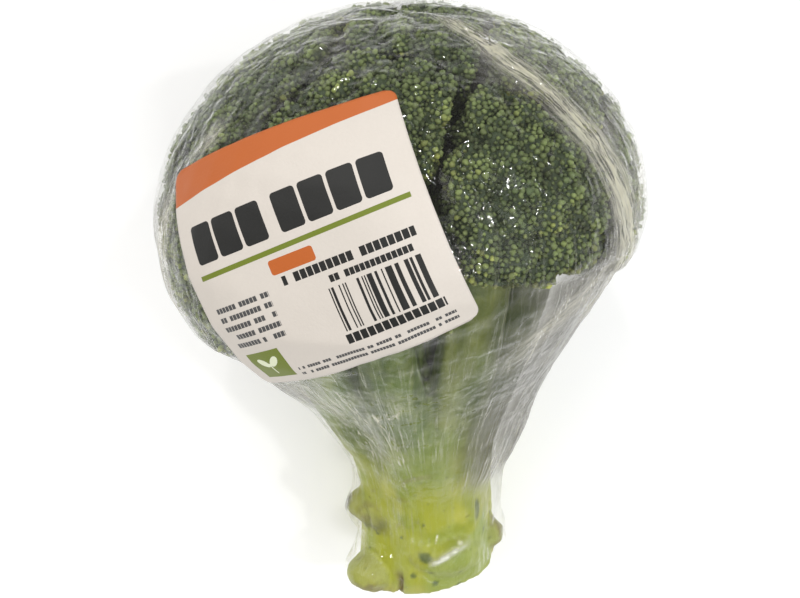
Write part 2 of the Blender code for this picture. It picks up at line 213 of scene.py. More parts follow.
def add_piece(name, mesh, surface, nodes):
    piece = bpy.data.objects.new(name, mesh)
    bpy.context.collection.objects.link(piece)
    mesh.materials.append(surface)
    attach(piece, "root")
    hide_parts(*nodes)
    return piece


# ---------------------------------------------------------------- materials


class Shading:
    """A small helper that adds nodes and links them."""

    def __init__(self, name):
        self.material = bpy.data.materials.new(name)
        self.material.use_nodes = True
        self.tree = self.material.node_tree
        self.shader = self.tree.nodes["Principled BSDF"]
        self.output = self.tree.nodes["Material Output"]

    def set(self, socket, value):
        if isinstance(value, bpy.types.NodeSocket):
            self.tree.links.new(value, socket)
        elif value is not None:
            socket.default_value = value

    def add(self, kind, settings=(), **inputs):
        node = self.tree.nodes.new("ShaderNode" + kind)
        for key, value in dict(settings).items():
            setattr(node, key, value)
        for key, value in inputs.items():
            self.set(node.inputs[key.replace("_", " ")], value)
        return node

    def math(self, operation, *values):
        node = self.tree.nodes.new("ShaderNodeMath")
        node.operation = operation
        for socket, value in zip(node.inputs, values):
            self.set(socket, value)
        return node.outputs[0]

    plus, minus = partialmethod(math, "ADD"), partialmethod(math, "SUBTRACT")
    times, over = partialmethod(math, "MULTIPLY"), partialmethod(math, "DIVIDE")

    def mix(self, factor, a, b, blend="MIX"):
        node = self.tree.nodes.new("ShaderNodeMix")
        node.data_type = "RGBA"
        node.blend_type = blend
        node.clamp_factor = True
        for index, value in ((0, factor), (6, a), (7, b)):
            if isinstance(value, tuple) and len(value) == 3:
                value = (*value, 1)
            self.set(node.inputs[index], value)
        return node.outputs[2]

    def ramp(self, value, low, high, ends=(0, 1)):
        """From the first end at low to the second at high."""
        node = self.tree.nodes.new("ShaderNodeValToRGB")
        for element, place, end in zip(node.color_ramp.elements, (low, high), ends):
            element.position, element.color = place, (end, end, end, 1)
        self.set(node.inputs[0], value)
        return node.outputs[0]

    def attribute(self, name):
        return self.add("VertexColor", {"layer_name": name}).outputs["Color"]

    def coordinates(self, stretch=(1, 1, 1)):
        """Object coordinates along the head's axes, each times its stretch."""
        place = self.add("TexCoord").outputs["Object"]
        mapping = self.add("Mapping", {"vector_type": "TEXTURE"}, Vector=place)
        mapping.inputs["Location"].default_value = HEAD.translation
        mapping.inputs["Rotation"].default_value = (TILT - math.pi / 2, 0, 0)
        mapping.inputs["Scale"].default_value = tuple(1 / s for s in stretch)
        return mapping.outputs[0]

    def noise(self, place, scale, detail=2.0, roughness=0.5, twist=0.0):
        node = self.add("TexNoise", Vector=place, Scale=scale, Detail=detail, Roughness=roughness)
        self.set(node.inputs["Distortion"], twist)
        return node.outputs["Fac"]

    def scaled(self, place, scale):
        node = self.add("Mapping", Vector=place)
        node.inputs["Scale"].default_value = scale
        return node.outputs[0]

    def line(self, value, middle, half):
        """1 where the value is at the middle, down to 0 at half away from it."""
        off = self.math("ABSOLUTE", self.minus(value, middle))
        return self.math("MAXIMUM", self.minus(1.0, self.over(off, half)), 0.0)

    def bump(self, height, distance, strength=1.0, normal=None):
        node = self.add("Bump", Height=height, Distance=distance, Strength=strength)
        if normal is not None:
            self.set(node.inputs["Normal"], normal)
        return node.outputs[0]

    def finish(self, **inputs):
        for key, value in inputs.items():
            self.set(self.shader.inputs[key.replace("_", " ")], value)
        return self.material


def bud_material():
    s = Shading("broccoli_buds")
    place = s.coordinates()
    tint = s.attribute("tint")
    fine = s.noise(place, 900, 3, 0.6)
    broad = s.noise(place, 90, 2)
    colour = s.mix(s.times(fine, 0.55), tint, s.mix(1.0, tint, (0.55, 0.62, 0.45), "MULTIPLY"))
    lift = s.minus(s.times(broad, 2.0), 0.8)
    colour = s.mix(s.times(lift, 0.35), colour, s.mix(1.0, colour, (1.5, 1.4, 1.25), "MULTIPLY"))
    normal = s.bump(fine, 0.0004, 0.6)
    return s.finish(
        Base_Color=colour, Normal=normal, Roughness=0.55, Specular_IOR_Level=0.35,
        Subsurface_Weight=0.08, Subsurface_Radius=(0.5, 1.0, 0.3), Subsurface_Scale=0.001,
    )


def stem_material():
    s = Shading("broccoli_stem")
    place = s.coordinates()
    long_place = s.coordinates((1, 1, 0.12))
    tint = s.attribute("tint")
    fibre = s.noise(long_place, 700, 4, 0.6)
    mottle = s.noise(place, 160, 4, 0.6)
    colour = s.mix(s.times(fibre, 0.5), tint, s.mix(1.0, tint, (0.80, 0.86, 0.62), "MULTIPLY"))
    pale = s.ramp(mottle, 0.45, 0.75)
    colour = s.mix(s.times(pale, 0.28), colour, (0.56, 0.60, 0.24))
    speck = s.add("TexVoronoi", {"feature": "F1"}, Vector=place, Scale=260.0).outputs["Distance"]
    speck = s.ramp(speck, 0.06, 0.16, (1, 0))
    colour = s.mix(s.times(speck, 0.25), colour, (0.10, 0.14, 0.05))
    normal = s.bump(fibre, 0.0005, 0.7)
    normal = s.bump(mottle, 0.0008, 0.5, normal)
    return s.finish(
        Base_Color=colour, Normal=normal, Roughness=0.40, Specular_IOR_Level=0.32,
        Subsurface_Weight=0.22, Subsurface_Radius=(1.0, 0.8, 0.25), Subsurface_Scale=0.003,
    )


# ---------------------------------------------------------------- florets

FLORET_NAMES = sorted(n for n in NODES if n.startswith("floret_"))
OWN_SHAPES = {name: (to_head(node_arrays([name])[0]), node_arrays([name])[1]) for name in FLORET_NAMES}
CROWN_MIDDLE = np.array([0, 0, CROWN_LEVEL])
BUD_RADIUS = 0.68 * MM
BUD_SPACING = 1.15 * MM
INSET = 0.7 * MM
FILM_SKIN = tree_of(*node_arrays(["film_wrap"]))


def room_to_film(points):
    """How far each point may move out from the crown's middle before it meets the film."""
    middle = Vector(to_world(CROWN_MIDDLE))
    room = np.zeros(len(points))
    for i, spot in enumerate(to_world(points)):
        way = Vector(spot) - middle
        hit = FILM_SKIN.ray_cast(middle, way.normalized())[3]
        room[i] = hit - way.length if hit else 0
    return room


def scattered(points, quads, wanted, spacing, generator):
    """Even random spots on the quads for which wanted is high: positions and face numbers."""
    a, b, c, d = (points[quads[:, k]] for k in range(4))
    areas = 0.5 * np.linalg.norm(np.cross(c - a, d - b), axis=1) * (wanted > 0)
    count = int(areas.sum() / spacing**2 * 5)
    chosen = generator.choice(len(quads), count, p=areas / areas.sum())
    u, v = generator.random((2, count, 1))
    spots = (a[chosen] * (1 - u) + b[chosen] * u) * (1 - v) + (d[chosen] * (1 - u) + c[chosen] * u) * v
    grid, kept = {}, []
    cells = np.floor(spots / spacing).astype(int)
    near = list(itertools.product((-1, 0, 1), repeat=3))
    limit = spacing * spacing
    for i, (cell, spot) in enumerate(zip(map(tuple, cells.tolist()), spots.tolist())):
        clear = True
        for step in near:
            for x, y, z in grid.get((cell[0] + step[0], cell[1] + step[1], cell[2] + step[2]), ()):
                if (x - spot[0]) ** 2 + (y - spot[1]) ** 2 + (z - spot[2]) ** 2 < limit:
                    clear = False
                    break
            if not clear:
                break
        if clear:
            grid.setdefault(cell, []).append(spot)
            kept.append(i)
    return spots[kept], chosen[kept]


def cells(points, centres, reach, width):
    """Domes round the centres and the valleys between them, both from 0 to about 1."""
    nearest = np.full((2, len(points)), 9.0)
    for start in range(0, len(points), 4000):
        some = points[start : start + 4000]
        apart = np.linalg.norm(some[:, None] - centres[None], axis=2)
        nearest[:, start : start + 4000] = np.partition(apart, 1, axis=1)[:, :2].T
    dome = 1 - np.clip(nearest[0] / reach, 0, 1.15) ** 2
    return dome, 1 - smooth_step(nearest[1] - nearest[0], 0.0, width)


def noise_vectors(points, size, seed):
    return np.stack([lattice_noise(points, size, seed + k) for k in range(3)], axis=1)


def joined(shapes):
    """One set of points and faces from several."""
    starts = np.cumsum([0] + [len(points) for points, _ in shapes])
    faces = [faces + start for (_, faces), start in zip(shapes, starts)]
    return np.concatenate([points for points, _ in shapes]), np.concatenate(faces)


def bud_shape():
    bm = bmesh.new()
    bmesh.ops.create_icosphere(bm, subdivisions=2, radius=1)
    points = np.array([v.co for v in bm.verts])
    faces = np.array([[v.index for v in f.verts] for f in bm.faces])
    bm.free()
    return points, faces


BUD_POINTS, BUD_FACES = bud_shape()
# The first colour is painted shade for the gaps under the buds; the rest are the buds' and stem's own greens.
PAINTED_GAP_SHADE = np.array([0.034, 0.052, 0.020])
DARK = np.array([0.088, 0.122, 0.050])
FRESH = np.array([0.200, 0.245, 0.085])
YELLOW = np.array([0.400, 0.430, 0.110])
PALE_STEM = np.array([0.330, 0.400, 0.150])


def bud_tint(tone):
    """From deep green at 0, over fresh green at 0.6, to yellow-green at 1."""
    tone = np.clip(tone, 0, 1)[:, None]
    low = DARK + (FRESH - DARK) * np.clip(tone / 0.6, 0, 1)
    return low + (YELLOW - FRESH) * np.clip((tone - 0.6) / 0.4, 0, 1)


def make_floret(name, surface):
    points, quads = remeshed([name], 1.0 * MM, 3)
    points = to_head(points)
    centre = points.mean(axis=0)
    outwards = unit(centre - CROWN_MIDDLE * np.array([1, 1, 0.93]))
    facing = unit(0.85 * outwards + 0.35 * np.array([0, 0, 1]))
    normals = vertex_normals(points, np.concatenate([quads[:, [0, 1, 2]], quads[:, [0, 2, 3]]]))
    wobble = lattice_noise(points, 6 * MM, 3)
    cover = smooth_step(normals @ facing + 0.12 * wobble, -0.42, -0.22)

    # Sub-florets: rounded lumps about 8 mm apart, with valleys between them, and small clumps.
    own = np.random.default_rng(sum(map(ord, name)))
    lumps, _ = scattered(points, quads, cover[quads].mean(axis=1) > 0.3, 7.6 * MM, own)
    dome, valley = cells(points + 0.9 * MM * noise_vectors(points, 5 * MM, 15), lumps, 5.6 * MM, 2.4 * MM)
    clumps, _ = scattered(points, quads, cover[quads].mean(axis=1) > 0.3, 3.1 * MM, own)
    clump, crack = cells(points, clumps, 2.3 * MM, 1.0 * MM)
    small = layered_noise(points, 4 * MM, 11, 2)
    # A groove where the floret meets its neighbours.
    others = tree_of(*joined([OWN_SHAPES[n] for n in FLORET_NAMES if n != name]))
    away = np.array([others.find_nearest(Vector(p), 9 * MM)[3] or 9 * MM for p in points])
    groove = 1 - smooth_step(away + 0.8 * MM * small, 0.2 * MM, 4.2 * MM)
    rise = cover * (-INSET + 1.7 * MM * (dome - 0.35) - 0.8 * MM * valley + 1.0 * MM * (clump - 0.4)
                    - 0.35 * MM * crack + 0.3 * MM * small - 1.3 * MM * groove)
    # The shoulders swell towards the film.
    swell = np.clip(room_to_film(points) - 1.7 * MM, 0, 7.0 * MM) * cover * (1 - 0.85 * groove)
    points = points + unit(points - CROWN_MIDDLE) * swell[:, None]

    # The underside: ridges of small stalks that fan out from the branch.
    side = np.cross(outwards, [0, 0, 1])
    around = np.arctan2((points - centre) @ unit(side), (points - centre) @ unit(np.cross(side, outwards)))
    ridges = 0.7 * MM * np.cos(9 * around + 2.5 * lattice_noise(points, 9 * MM, 5))
    rise += (1 - cover) * (ridges + 0.4 * MM * small)
    points = points + normals * rise[:, None]

    triangles = np.concatenate([quads[:, [0, 1, 2]], quads[:, [0, 2, 3]]])
    normals = vertex_normals(points, triangles)
    low = smooth_step(-(normals @ np.array([0, 0, 1.0])), -0.1, 0.9)
    # Painted shade: under the buds the surface is near-black green, as shade in the gaps; bare undersides take the
    # stem's colour.
    base_tint_with_painted_shade = PAINTED_GAP_SHADE + (PALE_STEM - PAINTED_GAP_SHADE) * (1 - cover)[:, None] * (0.75 + 0.25 * small[:, None])

    spots, on = scattered(points, quads, cover[quads].mean(axis=1) > 0.45, BUD_SPACING, own)
    ways = unit(normals[quads[on]].mean(axis=1))
    valleys = np.maximum(valley, groove)[quads[on]].mean(axis=1)
    height = clump[quads[on]].mean(axis=1)
    count = len(spots)
    tilt = unit(ways + own.normal(0, 0.22, (count, 3)))
    side = unit(np.cross(tilt, unit(own.normal(0, 1, (count, 3)))))
    other = np.cross(tilt, side)
    radius = BUD_RADIUS * own.uniform(0.65, 1.30, count) * (1 - 0.15 * valleys)
    wide = radius * own.uniform(0.8, 1.3, count)
    long = radius * own.uniform(1.0, 1.5, count)
    knobs = 1 + own.uniform(-0.24, 0.24, (count, len(BUD_POINTS), 1))
    shape = knobs * (
        side[:, None] * (BUD_POINTS[None, :, :1] * radius[:, None, None])
        + other[:, None] * (BUD_POINTS[None, :, 1:2] * wide[:, None, None])
        + tilt[:, None] * (BUD_POINTS[None, :, 2:] * long[:, None, None])
    )
    buds = (spots + ways * 0.10 * MM)[:, None] + shape
    patch = lattice_noise(spots, 13 * MM, 21) + 0.6 * lattice_noise(spots, 5 * MM, 23)
    tone = 0.27 + 0.27 * patch + own.normal(0, 0.09, count) + 0.62 * low[quads[on]].mean(axis=1)
    tone += 0.30 * (1 - cover[quads[on]].mean(axis=1)) + 0.16 * height
    # Painted shade and light: buds darker in the valleys and low in the clumps, lighter on the clumps' and domes'
    # tops.
    painted_shade = (0.60 + 0.52 * height) * (0.80 + 0.34 * dome[quads[on]].mean(axis=1))
    painted_shade = painted_shade * (1 + own.normal(0, 0.09, count) - 0.35 * valleys)
    tint = bud_tint(tone) * painted_shade[:, None]
    # Painted shade: each bud darker towards its base and lighter at its tip.
    painted_bud_shade = 0.45 + 0.55 * smooth_step(BUD_POINTS[:, 2], -0.5, 0.8)
    bud_tints_with_painted_shade = tint[:, None] * painted_bud_shade[None, :, None]

    starts = len(points) + len(BUD_POINTS) * np.arange(count)
    faces = [quads, (BUD_FACES[None] + starts[:, None, None]).reshape(-1, 3)]
    every = np.concatenate([points, buds.reshape(-1, 3)])
    mesh = mesh_from(name, to_world(every), faces)
    paint(mesh, "tint", np.clip(np.concatenate([base_tint_with_painted_shade, bud_tints_with_painted_shade.reshape(-1, 3)]), 0, 1))
    add_piece("buds_" + name[7:], mesh, surface, [name])
    return points, triangles


# ---------------------------------------------------------------- stalk, branches and leaf stubs


# Leaf scars on the stalk: (azimuth, half width) in degrees and height in mm.
LEAF_SCARS = (
    (-82, 26, 43), (-50, 20, 37), (-120, 24, 35), (150, 30, 44), (60, 28, 30), (-100, 18, 27), (100, 26, 20),
)
# Spots of rot and dirt on the stalk: azimuth in degrees, height, half width and half height in mm.
BRUISES = (
    (-90, 16.2, 2.0, 1.1), (-38, 27, 1.5, 3.2), (-64, 5, 0.9, 0.8), (-104, 9, 0.8, 0.9),
    (-84, 7.0, 0.8, 0.7), (-30, 19, 0.9, 0.6), (-112, 21, 0.6, 0.6), (120, 15, 1.6, 2.0),
    (70, 8, 1.1, 1.4),
)


def ridge_level(azimuth):
    """Height of the slanted ridge where the film is stretched over the front stub."""
    return (17.6 + 3.4 * (np.degrees(azimuth) + 76) / 22) * MM


def foot_ridge(azimuth, height):
    """That ridge, from 0 beside it to 1 on its crest."""
    along = np.abs(np.degrees(azimuth) + 76) / 22
    return np.exp(-(((height - ridge_level(azimuth)) / (1.3 * MM)) ** 2)) * (1 - smooth_step(along, 0.7, 1.25))


def make_stem(surface):
    stubs = sorted(n for n in NODES if n.startswith("leaf_stub_"))
    branches = sorted(n for n in NODES if n.startswith("branch_"))
    names = branches + stubs + ["main_stalk"]
    points, quads = remeshed(names, 0.8 * MM, 4, lambda name: (0.95 if name in stubs else 0.45) * MM)
    triangles = np.concatenate([quads[:, [0, 1, 2]], quads[:, [0, 2, 3]]])
    points = to_head(points)
    left_stub = to_head(node_arrays(["leaf_stub_left"])[0]).mean(axis=0)
    points[:, 2] += 2.8 * MM * np.exp(-(np.linalg.norm(points - left_stub, axis=1) / (9.5 * MM)) ** 4)
    normals = vertex_normals(points, triangles)
    height = points[:, 2]
    azimuth = np.arctan2(points[:, 1], points[:, 0] - STALK_LEAN * (1 - smooth_step(height / CROWN_LEVEL)))
    cut = smooth_step(-normals[:, 2], 0.78, 0.94) * (height < 12 * MM)
    low = 1 - smooth_step(height, 0.030, 0.055)
    stub_tree = tree_of(*joined([(to_head(node_arrays([n])[0]), node_arrays([n])[1]) for n in stubs]))
    off_stub = np.array([stub_tree.find_nearest(Vector(p), 8 * MM)[3] or 8 * MM for p in points])
    on_stub = 1 - smooth_step(off_stub, 1.1 * MM, 1.7 * MM)
    in_front = angle_window(azimuth, math.radians(-66), math.radians(30), math.radians(42))
    crease = np.exp(-(((off_stub - 2.3 * MM) / (0.8 * MM)) ** 2)) * (1 - 0.85 * in_front)

    stretched = points * np.array([1, 1, 0.14])
    ribs = lattice_noise(stretched, 2.6 * MM, 31)
    broad_ribs = lattice_noise(stretched, 6.5 * MM, 38)
    lumps = lattice_noise(points, 8 * MM, 32)
    grain = lattice_noise(points, 2.5 * MM, 33)
    rise = 0.16 * MM * ribs + 0.35 * MM * broad_ribs * (1 - low) + 0.35 * MM * lumps * low + 0.12 * MM * grain
    creased = crease * (0.4 + 0.6 * smooth_step(grain, -0.5, 0.5)) * (1 - cut)
    rise += (0.25 * MM * grain * on_stub - 0.55 * MM * creased) * low
    scar = np.zeros(len(points))
    for turn, width, level in LEAF_SCARS:
        away = np.remainder(azimuth - math.radians(turn) + math.pi, math.tau) - math.pi
        bend = level * MM - 2.8 * MM * (away / math.radians(width)) ** 2 + 0.5 * MM * grain
        inside = 1 - smooth_step(np.abs(away) / math.radians(width), 0.75, 1.0)
        uneven = 0.35 + 0.65 * smooth_step(lumps, -0.4, 0.4)
        ledge = smooth_step(height, bend - 2.2 * MM, bend) * (height < bend) * inside * uneven
        rise += 0.55 * MM * ledge
        scar = np.maximum(scar, np.exp(-(((height - bend) / (0.55 * MM)) ** 2)) * inside)
    # The cut end: a shallow dish with a raised ring, and a crack.
    from_axis = np.hypot(points[:, 0] - STALK_LEAN, points[:, 1]) / STALK_RADIUS
    ring = np.exp(-(((from_axis - 0.74 + 0.03 * lumps) / 0.05) ** 2))
    crack_line = np.abs(points[:, 0] + 0.5 * MM + 1.8 * MM * lattice_noise(points, 4 * MM, 39))
    crack = (1 - smooth_step(crack_line, 0.3 * MM, 1.3 * MM)) * (points[:, 1] < -6 * MM)
    crack = crack * (1 - smooth_step(height, 6 * MM, 11 * MM))
    hollow = 1 - smooth_step(from_axis, 0.35, 0.7)
    rise = rise * (1 - 0.6 * cut) + cut * (0.35 * MM * ring - 0.8 * MM * hollow)
    rise -= 1.2 * MM * crack
    rise += 0.55 * MM * foot_ridge(azimuth, height)
    # The pad that the left stub grows from.
    pad = angle_window(azimuth, math.radians(-152), math.radians(10), math.radians(32))
    pad *= np.exp(-(((height - 25.5 * MM + 0.8 * MM * grain) / (4.4 * MM)) ** 4))
    rise += 1.3 * MM * pad
    points = points + normals * rise[:, None]

    # Colour: yellow-green at the foot, greener towards the florets, brown where leaves were cut, with painted shade
    # in the hollows between the ribs and painted light on their ridges.
    def patches(size, seed, low, high):
        return smooth_step(layered_noise(points, size * MM, seed), low, high)

    rim = (1 - smooth_step(height - CUT_SLANT * (0.5 + 0.5 * np.cos(azimuth)), 0.5 * MM, 4.5 * MM)) * low
    below_ridge = smooth_step(ridge_level(azimuth) - height, 0, 2.5 * MM)
    below_ridge *= angle_window(azimuth, math.radians(-56), math.radians(30), math.radians(44))
    on_stub = on_stub * (1 - 0.9 * in_front)
    under = smooth_step(-normals[:, 2] + 0.3 * grain, 0.1, 0.6)
    pad_edge = pad * (1 - pad) * 4 * smooth_step(25.5 * MM - height, -2 * MM, 2 * MM)
    spots = smooth_step(lattice_noise(points, 2.2 * MM, 37), 0.78, 0.92) * low
    layers = [
        ((0.118, 0.160, 0.040), smooth_step(height, 0.026, 0.070)),
        # Painted shade: darker green in the hollows between the broad ribs.
        ((0.070, 0.110, 0.032), 0.55 * smooth_step(-broad_ribs, 0.1, 0.7) * (1 - low)),
        # Painted light: paler yellow-green on the broad ribs' ridges.
        ((0.400, 0.430, 0.130), 0.60 * smooth_step(broad_ribs, 0.2, 0.8)),
        ((0.170, 0.255, 0.040), 0.50 * patches(11, 36, 0.0, 0.6)),
        ((0.560, 0.540, 0.100), 0.55 * patches(9, 42, 0.1, 0.6) * low),
        ((0.440, 0.400, 0.165), 0.55 * rim),
        ((0.270, 0.345, 0.085), 0.7 * below_ridge),
        ((0.330, 0.340, 0.110), 0.55 * on_stub),
        ((0.150, 0.105, 0.035), (0.5 * on_stub * under + 0.45 * crease * under * low) * (1 - cut)),
        ((0.230, 0.200, 0.070), 0.8 * on_stub * patches(3, 43, 0.05, 0.5)),
        ((0.210, 0.185, 0.060), 0.55 * scar * smooth_step(grain + lumps, -0.1, 0.7)),
        ((0.330, 0.320, 0.110), 0.55 * pad),
        ((0.190, 0.165, 0.055), 0.7 * pad * patches(2.4, 45, 0.05, 0.5)),
        ((0.110, 0.105, 0.035), 0.75 * pad_edge),
        ((0.070, 0.085, 0.030), 0.8 * spots),
    ]
    for turn, level, wide, tall in BRUISES:
        away = (np.remainder(azimuth - math.radians(turn) + math.pi, math.tau) - math.pi) * STALK_RADIUS
        from_middle = np.hypot(away / (wide * MM), (height - level * MM) / (tall * MM))
        spot = 1 - smooth_step(from_middle + 0.45 * ribs + 0.45 * grain, 0.45, 1.25)
        layers.append(((0.035, 0.070, 0.028), 0.8 * spot))
    layers += [
        ((0.480, 0.480, 0.200), 0.75 * cut),
        ((0.250, 0.300, 0.080), 0.6 * cut * ring),
        ((0.330, 0.240, 0.090), 0.8 * cut * patches(7, 44, 0.0, 0.5)),
        ((0.130, 0.080, 0.030), 0.85 * crack),
    ]
    tint = np.array([0.385, 0.400, 0.034]) + 0 * points
    for colour, share in layers:
        tint = tint + (np.array(colour) - tint) * np.clip(share, 0, 1)[:, None]
    mesh = mesh_from("stem", to_world(points), quads)
    paint(mesh, "tint", np.clip(tint, 0, 1))
    add_piece("stem", mesh, surface, names)
    return points, triangles


# ---------------------------------------------------------------- film

COLUMNS, DOME_ROWS, LOWER_ROWS = 400, 100, 140


def film_rays():
    """Starting points and directions of the grid of rays that meet the film, in the head's frame."""
    share = np.arange(COLUMNS) / COLUMNS
    azimuth = -math.pi / 2 + math.tau * share - 0.55 * np.sin(math.tau * share)
    across = np.stack([np.cos(azimuth), np.sin(azimuth), np.zeros(COLUMNS)], axis=1)
    starts, ways = [], []
    for row in range(1, DOME_ROWS + 1):
        polar = math.pi / 2 * row / DOME_ROWS
        starts.append(np.repeat(CROWN_MIDDLE[None], COLUMNS, axis=0))
        ways.append(across * math.sin(polar) + np.array([0, 0, math.cos(polar)]))
    end = FILM_HEM + CUT_SLANT * (0.5 + 0.5 * np.cos(azimuth)) + 0.15 * MM
    for row in range(1, LOWER_ROWS + 1):
        height = CROWN_LEVEL + (end - CROWN_LEVEL) * row / LOWER_ROWS
        lean = STALK_LEAN * (1 - smooth_step(height / CROWN_LEVEL))
        starts.append(np.stack([lean, np.zeros(COLUMNS), height], axis=1))
        ways.append(across)
    return azimuth, np.stack(starts), np.stack(ways)


def neighbours(field, steps, axis):
    """The field moved both ways by up to so many steps: columns wrap round, rows stop at the ends."""
    for step in range(1, steps + 1):
        if axis:
            yield np.roll(field, step, 1)
            yield np.roll(field, -step, 1)
        else:
            yield np.concatenate([field[step:], np.repeat(field[-1:], step, 0)])
            yield np.concatenate([np.repeat(field[:1], step, 0), field[:-step]])


def least_nearby(field, across, along):
    for steps, axis in ((across, 1), (along, 0)):
        field = np.minimum.reduce([field, *neighbours(field, steps, axis)])
    return field


def averaged(field, across, along, rounds=2):
    for _ in range(rounds):
        for steps, axis in ((across, 1), (along, 0)):
            field = sum(neighbours(field, steps, axis), field) / (2 * steps + 1)
    return field


def curve_through(corners, count=60):
    """Points on a smooth curve through directions given as (azimuth, polar) in degrees."""
    spots = []
    for azimuth, polar in corners:
        a, p = math.radians(azimuth), math.radians(polar)
        spots.append([math.cos(a) * math.sin(p), math.sin(a) * math.sin(p), math.cos(p)])
    spots = np.array(spots)
    spots = np.concatenate([2 * spots[:1] - spots[1:2], spots, 2 * spots[-1:] - spots[-2:-1]])
    out = []
    for i in range(1, len(spots) - 2):
        for t in np.linspace(0, 1, count, endpoint=False):
            p0, p1, p2, p3 = spots[i - 1 : i + 3]
            out.append(0.5 * (2 * p1 + (p2 - p0) * t + (2 * p0 - 5 * p1 + 4 * p2 - p3) * t * t
                              + (3 * p1 - p0 - 3 * p2 + p3) * t**3))
    return unit(np.array(out))


# Bundles of folds: corners as (azimuth, polar), pitch and half width in mm at both ends, strength.
BUNDLES = (
    (((-34, 9), (-40, 22), (-41, 37), (-37, 52), (-32, 67), (-29, 87), (-28, 108)), (1.2, 2.6), (2.2, 7.5), 1.0),
    (((-8, 66), (-20, 80), (-36, 93), (-54, 104), (-66, 114)), (1.5, 2.6), (6.0, 6.0), 0.42),
    (((214, 55), (206, 75), (201, 95), (199, 115)), (1.6, 2.6), (3.5, 6.0), 0.6),
    (((70, 20), (95, 60), (88, 100), (80, 125)), (1.5, 3.0), (4.0, 9.0), 0.8),
    (((140, 40), (150, 80), (140, 120)), (1.4, 2.4), (3.0, 7.0), 0.6),
)


def bundle_fields(ways):
    """Height of the bundles' folds, and for each spot its place across and along and its strength."""
    flat = ways.reshape(-1, 3)
    height, best = np.zeros(len(flat)), np.zeros(len(flat))
    marks = np.zeros((len(flat), 3))
    for index, (corners, pitches, widths, strength) in enumerate(BUNDLES):
        line = curve_through(corners)
        cosines = flat @ line.T
        nearest = cosines.argmax(axis=1)
        share = nearest / (len(line) - 1)
        tangent = unit(np.gradient(line, axis=0))[nearest]
        side = np.einsum("ij,ij->i", np.cross(tangent, line[nearest]), flat) * 67
        ahead = np.abs(np.einsum("ij,ij->i", tangent, flat - line[nearest])) * 67
        pitch = pitches[0] + (pitches[1] - pitches[0]) * share
        width = widths[0] + (widths[1] - widths[0]) * share
        wander = 1.2 * lattice_noise(np.stack([share * 9, side * 0.08, side * 0], axis=1), 1.0, 51)
        folds = np.cos(math.tau * (side + wander) / pitch)
        fade = np.exp(-((side / width) ** 2)) * np.exp(-((ahead / 4) ** 2)) * strength
        fade *= smooth_step(share, 0.0, 0.12) * (1 - 0.6 * smooth_step(share, 0.8, 1.0))
        # On the outer side the film hangs loose in a wide, faint veil.
        veil = np.exp(-((side / 16) ** 2)) * smooth_step(-side, -1.0, 3.0) * smooth_step(share, 0.05, 0.3)
        veil *= (1 - smooth_step(share, 0.80, 1.0)) * np.exp(-((ahead / 4) ** 2))
        fade = np.maximum(fade, 0.16 * veil * strength)
        height += fade * folds
        mine = fade > best
        best = np.maximum(best, fade)
        marks[mine] = np.stack([side + 40 * index, share * 100, fade], axis=1)[mine]
    return height.reshape(ways.shape[:2]), marks.reshape(*ways.shape[:2], 3)


FAR = 12 * MM


